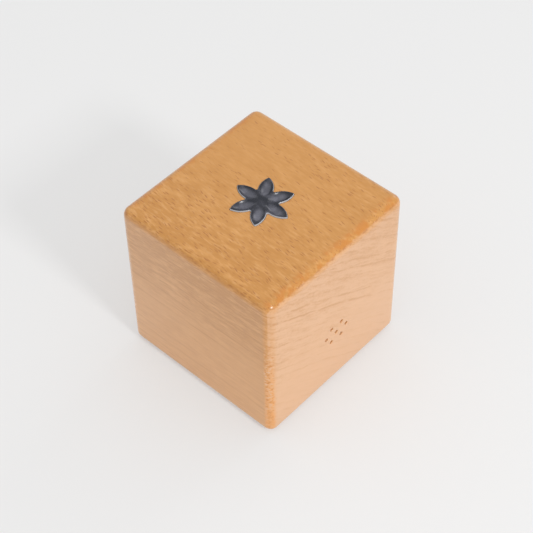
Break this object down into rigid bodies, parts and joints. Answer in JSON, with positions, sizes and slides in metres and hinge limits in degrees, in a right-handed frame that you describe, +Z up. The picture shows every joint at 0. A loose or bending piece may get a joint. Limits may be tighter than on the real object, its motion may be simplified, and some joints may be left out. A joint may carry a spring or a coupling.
{
  "type": "wooden cube",
  "caption": "Small beech cube with rounded arrises, a dark dished rosette inlay in its top and a group of fine drilled holes in one side.",
  "frame": {"origin": "middle of the base, on the surface that the cube stands on", "axes": "+Z up through the inlay, -Y out of the drilled side, grain along Y"},
  "size_m": [0.05, 0.05, 0.0503],
  "materials": {
    "beech": "satin",
    "enamel": "gloss"
  },
  "bodies": {
    "root": {"beech_block": "beech", "enamel_inlay": "enamel"}
  },
  "joints": []
}
